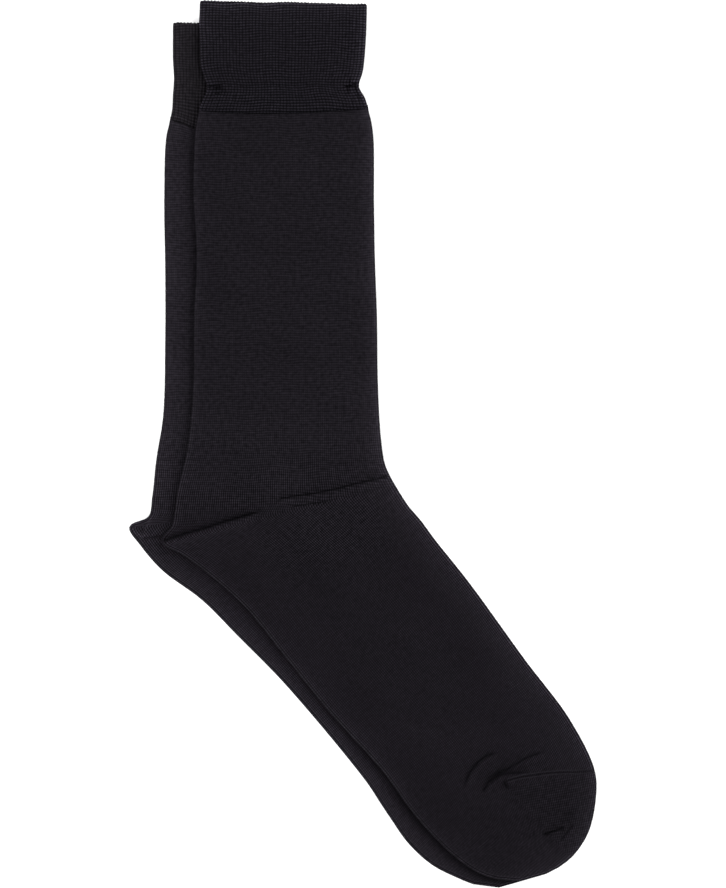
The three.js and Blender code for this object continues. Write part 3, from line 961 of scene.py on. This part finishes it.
def cuff_skin(sock, places, is_outer):
    """Rows of a cuff skin: rounded at the mouth, thin where it covers the leg's top."""
    back = sock.plan(places)[0]
    from_mouth = np.linalg.norm(back - back[0], axis=1)
    to_seam = np.linalg.norm(back - back[-1], axis=1)
    shifts = np.zeros(len(places))
    if is_outer:
        radius = np.full(len(places), RIM)
        radius[:2] = [RIM - CUFF_WALL * corner for corner in MOUTH_CORNERS]
        shifts[1] = MOUTH_ROUND - from_mouth[1]
        out = radius + EDGE_GROWTH
        up = radius - np.where(np.arange(len(places)) == len(places) - 1, HEM_THINNER, 0)
    else:
        near_seam = 1 - smooth(to_seam / LIP_FADE)
        out = (RIM - CUFF_WALL) * (1 - near_seam) + (RIM - LIP_ROOM[0]) * near_seam
        up = (RIM - CUFF_WALL) * (1 - near_seam) + (RIM - CUFF_LIP + LIP_ROOM[1]) * near_seam
        shifts[0] = MOUTH_ROUND
    return Skin(places, shifts, out, up)


def cuff_relief(sock, creases):
    """Creases, a slightly wavy mouth with a bump at each rib, and a thick lower edge that sinks a little and
    gets painted shade.
    """
    def relief(plan, columns):
        shift, rise, shade = crease_field(creases, plan)
        if sock is lower:
            shift[..., 1] -= hem_sag(plan)
        from_mouth = np.linalg.norm(plan - plan[:1], axis=-1)
        to_seam = np.linalg.norm(plan - plan[-1:], axis=-1)
        along = columns.share * 2 * math.pi
        wave = MOUTH_WAVE * sum(size * np.sin(turns * along + start) for size, turns, start in MOUTH_WAVES)
        bump = MOUTH_SCALLOP * (0.5 - 0.5 * np.cos(math.pi * columns.wale))
        shift[..., 1] += wave * np.exp(-from_mouth / WAVE_FADE) + bump * np.exp(-from_mouth / SCALLOP_FADE)
        hem = np.exp(-((to_seam / HEM_REACH) ** 2))
        return shift, rise - HEM_SINK * hem, shade * (1 - HEM_PAINTED_SHADE * hem) * painted_edge_shade(sock, plan)
    return relief


def build_cuff(name, sock, creases):
    rows = rows_between(sock, 0, CUFF_SEAM, lambda place: np.full(place.shape, CUFF_ROW))
    inner_rows = rows_between(sock, 0, CUFF_SEAM, lambda place: np.full(place.shape, CUFF_INNER_ROW))
    shares = np.linspace(0, 1, RIBS * POINTS_PER_RIB + 1)
    outer_columns = columns_of(shares[::2], shares, RIM_STEPS)
    inner_shares = np.linspace(0, 1, CUFF_INNER_STEPS)
    inner_columns = columns_of(inner_shares, inner_shares, CUFF_INNER_RIM_STEPS)
    outer, inner = cuff_skin(sock, rows, True), cuff_skin(sock, inner_rows, False)
    made = shell(name, sock, outer, inner, outer_columns, inner_columns, cuff_relief(sock, creases), False)
    print(name, "rows", len(rows), "columns", len(outer_columns.share), "faces", len(made.data.polygons))
    return made, len(rows) * len(outer_columns.share)


upper_cuff, upper_cuff_points = build_cuff("upper_sock_cuff_rib", upper, CUFF_CREASES)
lower_cuff, lower_cuff_points = build_cuff("lower_sock_cuff_rib", lower, ())

# %% [markdown]
# ## Helpers for nodes
# A node can be added and linked by hand in the editor. In a script a few short helpers do it:
# they feed a node's inputs, add a node, do a step of arithmetic, and start a group with named
# sockets. So the trees below read like sums.

# %% Node helpers
def feed(tree, node, inputs):
    """Links a node's inputs to sockets, or sets them to plain values."""
    for key, value in inputs.items():
        if isinstance(value, bpy.types.NodeSocket):
            tree.links.new(value, node.inputs[key])
        else:
            node.inputs[key].default_value = value


def add_node(tree, kind, inputs=None, **settings):
    node = tree.nodes.new(kind)
    for key, value in settings.items():
        setattr(node, key, value)
    feed(tree, node, inputs or {})
    return node


def math_of(tree, operation, *values):
    """A Math node on sockets or numbers."""
    return add_node(tree, "ShaderNodeMath", dict(enumerate(values)), operation=operation).outputs[0]


def new_group(name, kind, inputs, outputs):
    """A node group with its sockets, what it is given, and the node that its results go to."""
    tree = bpy.data.node_groups.new(name, kind)
    for in_out, sockets in (("INPUT", inputs), ("OUTPUT", outputs)):
        for socket, sort in sockets.items():
            tree.interface.new_socket(socket, in_out=in_out, socket_type="NodeSocket" + sort)
    return tree, add_node(tree, "NodeGroupInput").outputs, add_node(tree, "NodeGroupOutput")


print("helpers:", feed.__name__, add_node.__name__, math_of.__name__, new_group.__name__)

# %% [markdown]
# ## The stitches, as a shader group
# Fine knit is columns of small V-shaped stitches. An image could show them, but a shader group
# draws them from the stitch count in the UV map at any size, as a height. Wales and courses are
# weighed apart: on the leg the courses show most, and where the foot stretches the knit, the
# wales do. The group also gives a painted shade for the low places between the stitches, and
# the yarn's unevenness from wale to wale and course to course.

# %% Stitch group
WALE_DOME, WALE_LEAN = 0.44, 0.15
EACH_LOOP, EVERY_SECOND_LOOP = 0.24, 0.38
# Stretch of the noise across the wales and along them, for each kind of unevenness.
WALE_STREAK, COURSE_STREAK, FIBRE_STREAK = (0.9, 0.2), (0.12, 0.7), (0.45, 0.35)
STREAK_SHARE, FIBRE_SHARE = 0.4, 1.2


def streak(tree, count, stretch):
    """Noise drawn out along the wales or along the courses."""
    stretched = add_node(tree, "ShaderNodeVectorMath", {0: count, 1: (*stretch, 1.0)}, operation="MULTIPLY")
    noise_inputs = {"Vector": stretched.outputs[0], "Scale": 1.0, "Detail": 2.0}
    return add_node(tree, "ShaderNodeTexNoise", noise_inputs, noise_dimensions="2D").outputs["Fac"]


def weigh(tree, value, weight):
    """A value from 0 to 1 that moves towards 1 as its weight goes to 0."""
    missing = math_of(tree, "SUBTRACT", 1.0, value)
    return math_of(tree, "SUBTRACT", 1.0, math_of(tree, "MULTIPLY", missing, weight))


def stitch_group():
    """Wale and course counts in, stitch height and a share of light back out: the grooves' painted shade
    times the yarn's unevenness.
    """
    numbers = ("Wale weight", "Course weight", "Rib weight", "Slant", "Tone", "Contrast")
    tree, given, outside = new_group(
        "KnitStitches", "ShaderNodeTree",
        {"Count": "Vector", **dict.fromkeys(numbers, "Float")}, {"Height": "Float", "Light": "Float"},
    )
    count = add_node(tree, "ShaderNodeSeparateXYZ", {0: given["Count"]}).outputs

    def step(operation, *values):
        return math_of(tree, operation, *values)

    from_centre = step("ABSOLUTE", step("SUBTRACT", step("FRACT", count["X"]), 0.5))
    turn = step("MULTIPLY", from_centre, 2 * math.pi)
    dome = step("MULTIPLY", step("ADD", step("COSINE", turn), 1.0), WALE_DOME)
    wale = step("ADD", dome, step("MULTIPLY", step("SINE", turn), WALE_LEAN))
    slanted = step("ADD", count["Y"], step("MULTIPLY", from_centre, given["Slant"]))
    paired = step("SINE", step("MULTIPLY", slanted, math.pi))
    loops = step("MULTIPLY", step("ABSOLUTE", paired), EACH_LOOP)
    pairs = step("ADD", step("MULTIPLY", paired, EVERY_SECOND_LOOP), EVERY_SECOND_LOOP)
    course = step("ADD", loops, pairs)
    rib_turn = step("COSINE", step("MULTIPLY", count["X"], math.pi))
    rib = step("SUBTRACT", 0.5, step("MULTIPLY", rib_turn, 0.5))
    height = weigh(tree, wale, given["Wale weight"])
    height = step("MULTIPLY", height, weigh(tree, course, given["Course weight"]))
    height = step("MULTIPLY", height, weigh(tree, rib, given["Rib weight"]))
    stretches = (WALE_STREAK, COURSE_STREAK, FIBRE_STREAK)
    by_wale, by_course, fibre = (streak(tree, given["Count"], stretch) for stretch in stretches)
    streaks = step("MULTIPLY", step("ADD", by_wale, by_course), STREAK_SHARE)
    yarn = step("ADD", streaks, step("MULTIPLY", fibre, FIBRE_SHARE))
    # Painted shade: the lower the stitch's height, the darker the colour.
    light = step("POWER", height, given["Contrast"])
    light = step("MULTIPLY", light, step("MULTIPLY", yarn, given["Tone"]))
    feed(tree, outside, {"Height": height, "Light": light})
    return tree


KNIT_STITCHES = stitch_group()
print("shader group:", KNIT_STITCHES.name)

# %% [markdown]
# ## Knit materials
# Plain knit and rib are one yarn, knitted in two ways, so one function makes both from a row
# of values. The grooves between the stitches get painted shade, a darker colour as well as a
# bump, because in so fine a knit they are smaller than a pixel. The shade attribute's painted
# shade and light multiply the colour too. The shader stays in each material, with a little
# sheen for the yarn's nap. The lower cuff is seen less stretched, so its rib is finer.

# %% Knit materials
# Places along the sock where the leg's knit begins, and the foot's, and the toe's.
LEG_FROM = 40 * MM
FOOT_FROM = -75 * MM
TOE_FROM = -155 * MM
TOE_FULL = -175 * MM
# leg, foot and toe each give the wale weight, the course weight, the tone and the contrast.
Knitting = namedtuple("Knitting", "name colour groove depth slant leg foot toe rib course_stretch")
# Painted shade: the colour of the grooves between the stitches.
GROOVE_SHADE = (0.0001, 0.0001, 0.0002)
PLAIN = Knitting("plain_knit", (0.0160, 0.0139, 0.0180), GROOVE_SHADE, 0.05, 0.8,
                 (0.16, 0.4, 0.52, 1.8), (1.0, 0.42, 1.24, 2.2), (0.7, 0.4, 0.74, 1.9), 0.0, 1.0)
COARSE_RIB = (0.25, 0.8, 1.02, 2.3)
FINER_RIB = (0.25, 0.6, 0.605, 1.9)
RIB = Knitting("rib_knit", (0.0200, 0.0177, 0.0236), GROOVE_SHADE, 0.07, 0.8,
               COARSE_RIB, COARSE_RIB, COARSE_RIB, 0.3, 0.92)
LOWER_RIB = RIB._replace(name="lower_rib_knit", colour=(0.0200, 0.0176, 0.0213),
                         leg=FINER_RIB, foot=FINER_RIB, toe=FINER_RIB, rib=0.22)
YARN_FINISH = {"Roughness": 0.6, "Specular IOR Level": 0.01, "Sheen Weight": 0.01}
KNIT_FINISH = {**YARN_FINISH, "Sheen Roughness": 0.4}
YARN_COLOUR = (0.0086, 0.0076, 0.0097)
YARN_SPREAD = (0.5, 1.5)
YARN_GRAIN = 900.0
FLOOR_FINISH = {"Base Color": (0.9, 0.9, 0.9, 1.0), "Roughness": 0.9}


def new_material(name):
    """A new material, with its tree and the shader in it."""
    material = bpy.data.materials.new(name)
    material.use_nodes = True
    return material, material.node_tree, material.node_tree.nodes["Principled BSDF"]


def along_sock(tree, axes, low, high, at_low, at_high):
    """A value that changes softly with the place along the sock."""
    inputs = {"Value": axes.outputs["Y"], "From Min": low, "From Max": high,
              "To Min": at_low, "To Max": at_high}
    return add_node(tree, "ShaderNodeMapRange", inputs, interpolation_type="SMOOTHSTEP").outputs["Result"]


def knit_material(knitting):
    material, tree, shader = new_material(knitting.name)
    count = add_node(tree, "ShaderNodeUVMap", uv_map="Knit").outputs["UV"]
    stretch = (1.0, knitting.course_stretch, 1.0)
    stretched = add_node(tree, "ShaderNodeVectorMath", {0: count, 1: stretch}, operation="MULTIPLY")
    place = add_node(tree, "ShaderNodeTexCoord").outputs["Object"]
    axes = add_node(tree, "ShaderNodeSeparateXYZ", {0: place})
    inputs = {"Count": stretched.outputs[0], "Slant": knitting.slant, "Rib weight": knitting.rib}
    for index, socket in enumerate(("Wale weight", "Course weight", "Tone", "Contrast")):
        leg_or_foot = along_sock(tree, axes, FOOT_FROM, LEG_FROM, knitting.foot[index], knitting.leg[index])
        inputs[socket] = along_sock(tree, axes, TOE_FULL, TOE_FROM, knitting.toe[index], leg_or_foot)
    stitches = add_node(tree, "ShaderNodeGroup", inputs, node_tree=KNIT_STITCHES).outputs
    shade = add_node(tree, "ShaderNodeAttribute", attribute_name="shade").outputs["Fac"]
    # The colour runs from the grooves' painted shade to the yarn's colour, times the painted shade and light
    # of the shade attribute.
    tint = add_node(tree, "ShaderNodeMix", {
        "Factor": math_of(tree, "MULTIPLY", stitches["Light"], shade),
        "A": (*knitting.groove, 1.0),
        "B": (*knitting.colour, 1.0),
    }, data_type="RGBA", clamp_factor=False)
    bump_inputs = {"Strength": 1.0, "Distance": knitting.depth * MM, "Height": stitches["Height"]}
    bump = add_node(tree, "ShaderNodeBump", bump_inputs)
    bump_normal = bump.outputs["Normal"]
    feed(tree, shader, {"Base Color": tint.outputs["Result"], "Normal": bump_normal, **KNIT_FINISH})
    return material


def yarn_material(name, colour):
    """Plain yarn with a faint unevenness, for the linking stitches."""
    material, tree, shader = new_material(name)
    place = add_node(tree, "ShaderNodeTexCoord").outputs["Object"]
    noise_inputs = {"Vector": place, "Scale": YARN_GRAIN}
    noise = add_node(tree, "ShaderNodeTexNoise", noise_inputs, noise_dimensions="3D").outputs["Fac"]
    dark, pale = ((*(share * c for c in colour), 1.0) for share in YARN_SPREAD)
    tint = add_node(tree, "ShaderNodeMix", {"Factor": noise, "A": dark, "B": pale}, data_type="RGBA")
    feed(tree, shader, {"Base Color": tint.outputs["Result"], **YARN_FINISH})
    return material


PLAIN_KNIT, RIB_KNIT, LOWER_RIB_KNIT = (knit_material(knitting) for knitting in (PLAIN, RIB, LOWER_RIB))
SEAM_YARN = yarn_material("seam_yarn", YARN_COLOUR)
pale_floor, floor_tree, floor_shader = new_material("pale_floor")
feed(floor_tree, floor_shader, FLOOR_FINISH)
for thing, finish in ((floor, pale_floor), (upper_leg, PLAIN_KNIT), (lower_leg, PLAIN_KNIT)):
    thing.data.materials.append(finish)
print("materials:", PLAIN_KNIT.name, RIB_KNIT.name, LOWER_RIB_KNIT.name, SEAM_YARN.name)

# %% [markdown]
# ## Ribs by Geometry Nodes
# The tree reads the stitch count, turns every second wale into a raised rib, and moves the
# points outwards along their normals. Ribs could be modelled one by one, but here their number
# and rise are inputs. The underside stays flat, since it is pressed on the floor. The tree ends
# in Realize Instances and Set Material, and its result is kept as a plain mesh.

# %% Rib tree
def finish_tree(tree, given, outside, made):
    """Ends a tree: makes instances real, gives them their finish, and hands them on."""
    real = add_node(tree, "GeometryNodeRealizeInstances", {"Geometry": made}).outputs["Geometry"]
    finish = add_node(tree, "GeometryNodeSetMaterial", {"Geometry": real, "Material": given["Finish"]})
    feed(tree, outside, {"Geometry": finish.outputs["Geometry"]})
    return tree


def rib_tree():
    tree, given, outside = new_group(
        "RibRelief", "GeometryNodeTree",
        {"Geometry": "Geometry", "Rib rise": "Float", "Ribs around": "Float", "Finish": "Material"},
        {"Geometry": "Geometry"},
    )
    share, amount = (
        add_node(tree, "GeometryNodeInputNamedAttribute", {"Name": name}, data_type="FLOAT").outputs[0]
        for name in ("rib_share", "rib_amount")
    )
    turns = math_of(tree, "MULTIPLY", share, given["Ribs around"])
    wave = math_of(tree, "COSINE", math_of(tree, "MULTIPLY", turns, 2 * math.pi))
    raised = math_of(tree, "SUBTRACT", 0.5, math_of(tree, "MULTIPLY", wave, 0.5))
    rise = math_of(tree, "MULTIPLY", raised, math_of(tree, "MULTIPLY", given["Rib rise"], amount))
    normal = add_node(tree, "GeometryNodeInputNormal").outputs[0]
    outward = add_node(tree, "ShaderNodeVectorMath", {0: normal, "Scale": rise}, operation="SCALE")
    moved = {"Geometry": given["Geometry"], "Offset": outward.outputs[0]}
    move = add_node(tree, "GeometryNodeSetPosition", moved)
    return finish_tree(tree, given, outside, move.outputs["Geometry"])


def set_inputs(modifier, **values):
    """Sets a modifier's inputs by their sockets' identifiers."""
    for item in modifier.node_group.interface.items_tree:
        key = item.name.replace(" ", "_")
        if item.in_out == "INPUT" and key in values:
            modifier[item.identifier] = values[key]


def bake_nodes(made):
    """Keeps the evaluated result as a plain mesh and removes the modifier."""
    graph = bpy.context.evaluated_depsgraph_get()
    result = bpy.data.meshes.new_from_object(made.evaluated_get(graph), depsgraph=graph)
    made.modifiers.clear()
    made.data = result
    return made


RIB_TREE = rib_tree()
FACING_UP = 0.6


def add_ribs(cuff, skin_points, finish):
    """Marks each point of the outer skin with its place round the tube, then runs the tree."""
    wales = np.zeros(len(cuff.data.vertices))
    counts = np.zeros(len(cuff.data.loops) * 2)
    cuff.data.uv_layers["Knit"].data.foreach_get("uv", counts)
    corner_points = np.zeros(len(cuff.data.loops), int)
    cuff.data.loops.foreach_get("vertex_index", corner_points)
    wales[corner_points] = counts[::2]
    normals = np.zeros(len(wales) * 3)
    cuff.data.vertices.foreach_get("normal", normals)
    amount = smooth(normals[2::3] + FACING_UP)
    amount[skin_points:] = 0
    set_point_values(cuff, "rib_share", wales / WALES)
    set_point_values(cuff, "rib_amount", amount)
    modifier = cuff.modifiers.new("ribs", "NODES")
    modifier.node_group = RIB_TREE
    set_inputs(modifier, Rib_rise=RIB_RISE * MM, Ribs_around=WALES / 2.0, Finish=finish)
    bake_nodes(cuff)
    print(cuff.name, "ribs raised, top at", round(max(v.co.z for v in cuff.data.vertices) / MM, 2), "mm")


add_ribs(upper_cuff, upper_cuff_points, RIB_KNIT)
add_ribs(lower_cuff, lower_cuff_points, LOWER_RIB_KNIT)

# %% [markdown]
# ## The linked toe seam
# The toe pocket is closed by linking: one small loop for each wale, over the top of the toes
# and round the instep fold to the hidden side. Geometry Nodes set the loops along a path that
# was dropped onto the finished shell, so that they lie in the seam's groove.

# %% Seam path
SEAM_STITCH = 0.93
SEAM_YARN_RADIUS = 0.15
SEAM_LOOP = (0.34, 0.26)
SEAM_APART = 0.85
SEAM_LOWEST = 0.42
SEAM_SEED = 3
LINE_POINTS = 90
DROP_FROM = 0.1
FOLD_LOOPS = 11


def seam_row(tree, sock, line):
    """One row of stitches: along the upward face, round the front fold, back on the underside."""
    inside = line[outline_distance(sock, line) < -RIM]
    top, under = [], []
    for x, y in inside * MM:
        top.append(tree.ray_cast(Vector((x, y, DROP_FROM)), Vector((0, 0, -1)))[0])
        under.append(tree.ray_cast(Vector((x, y, -DROP_FROM)), Vector((0, 0, 1)))[0])
    outward = Vector((*(line[-1] - inside[-1]), 0)).normalized()
    middle = (top[-1] + under[-1]) / 2
    half_height = top[-1].z - middle.z
    rim = []
    for turn in np.linspace(0, math.pi, FOLD_LOOPS + 2)[1:-1]:
        out = outward * math.sin(turn) * (RIM + EDGE_GROWTH) * MM
        rim.append(middle + out + Vector((0, 0, math.cos(turn) * half_height)))
    return top + rim + under[::-1]


def seam_path(name, piece, sock, route):
    """Two rows of stitches, one on each edge of the seam, as a mesh of edges."""
    tree = BVHTree.FromObject(piece, bpy.context.evaluated_depsgraph_get())
    spline = spline_through([from_photo(*p) for p in route])
    line, along = spline(np.linspace(0, len(route) - 1, LINE_POINTS))
    across = np.stack([-along[:, 1], along[:, 0]], axis=1)
    points, edges = [], []
    for side in (-1, 1):
        row = seam_row(tree, sock, line + side * SEAM_APART * across)
        edges += [(len(points) + k, len(points) + k + 1) for k in range(len(row) - 1)]
        points += [(p.x, p.y, max(p.z, SEAM_LOWEST * MM)) for p in row]
    mesh = bpy.data.meshes.new(name)
    mesh.from_pydata(points, edges, [])
    made = bpy.data.objects.new(name, mesh)
    bpy.context.scene.collection.objects.link(made)
    return made


# %% [markdown]
# ## The linking stitches
# Each stitch is a small closed loop of yarn. Hand-set loops would never be evenly apart, so a
# tree walks along the path, sets one loop at each wale, turns it along the path, and makes it
# a little larger or smaller with a fixed seed.

# %% Seam tree
LOOP_CORNERS = 10
YARN_SIDES = 6
UNEVEN = (0.88, 1.12)


def seam_tree():
    sizes = ("Stitch pitch", "Yarn radius", "Loop length", "Loop width")
    tree, given, outside = new_group(
        "LinkedSeam", "GeometryNodeTree",
        {"Geometry": "Geometry", **dict.fromkeys(sizes, "Float"), "Seed": "Int", "Finish": "Material"},
        {"Geometry": "Geometry"},
    )

    def result_of(kind, output, inputs, **settings):
        return add_node(tree, kind, inputs, **settings).outputs[output]

    path = result_of("GeometryNodeMeshToCurve", "Curve", {"Mesh": given["Geometry"]})
    pitch = {"Curve": path, "Length": given["Stitch pitch"]}
    wale_places = result_of("GeometryNodeResampleCurve", "Curve", pitch, mode="LENGTH")
    ring_sizes = {"Resolution": LOOP_CORNERS, "Radius": 1.0}
    round_loop = result_of("GeometryNodeCurvePrimitiveCircle", "Curve", ring_sizes)
    stretch = {"X": given["Loop length"], "Y": given["Loop width"], "Z": 1.0}
    size = result_of("ShaderNodeCombineXYZ", 0, stretch)
    long_loop = result_of("GeometryNodeTransform", "Geometry", {"Geometry": round_loop, "Scale": size})
    yarn_sizes = {"Resolution": YARN_SIDES, "Radius": given["Yarn radius"]}
    yarn = result_of("GeometryNodeCurvePrimitiveCircle", "Curve", yarn_sizes)
    stitch = result_of("GeometryNodeCurveToMesh", "Mesh", {"Curve": long_loop, "Profile Curve": yarn})
    along = result_of("GeometryNodeInputTangent", 0, {})
    turn = result_of("FunctionNodeAlignEulerToVector", "Rotation", {"Vector": along}, axis="X")
    spread = {2: UNEVEN[0], 3: UNEVEN[1], "Seed": given["Seed"]}
    uneven = result_of("FunctionNodeRandomValue", 1, spread, data_type="FLOAT")
    placing = {"Points": wale_places, "Instance": stitch, "Rotation": turn, "Scale": uneven}
    stitches = result_of("GeometryNodeInstanceOnPoints", "Instances", placing)
    return finish_tree(tree, given, outside, stitches)


SEAM_TREE = seam_tree()


def add_seam(name, piece, sock, creases):
    route = next(crease.route for crease in creases if crease.name == "toe seam")
    seam = seam_path(name, piece, sock, route)
    modifier = seam.modifiers.new("stitches", "NODES")
    modifier.node_group = SEAM_TREE
    set_inputs(modifier, Stitch_pitch=SEAM_STITCH * MM, Yarn_radius=SEAM_YARN_RADIUS * MM,
               Loop_length=SEAM_LOOP[0] * MM, Loop_width=SEAM_LOOP[1] * MM,
               Seed=SEAM_SEED, Finish=SEAM_YARN)
    bake_nodes(seam)
    seam.data.shade_smooth()
    print(name, "faces", len(seam.data.polygons))
    return seam


upper_seam = add_seam("upper_sock_toe_seam", upper_leg, upper, UPPER_CREASES)
lower_seam = add_seam("lower_sock_toe_seam", lower_leg, lower, LOWER_CREASES)

# %% [markdown]
# ## Placing the pieces in the part
# Nothing on a sock moves by itself, so every piece rides on the part's one body. Each shell
# stands for its solids, which are hidden.

for seam in (upper_seam, lower_seam):
    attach(seam, "root")


def settle(piece, nodes):
    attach(piece, "root")
    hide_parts(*nodes)


settle(lower_leg, ("lower_sock_leg_and_foot", "lower_sock_toe"))
settle(lower_cuff, ("lower_sock_cuff",))
settle(upper_leg, ("upper_sock_leg_and_foot", "upper_sock_toe"))
settle(upper_cuff, ("upper_sock_cuff",))
print("pieces on the body:", [piece.name for piece in (lower_leg, lower_cuff, upper_leg, upper_cuff)])
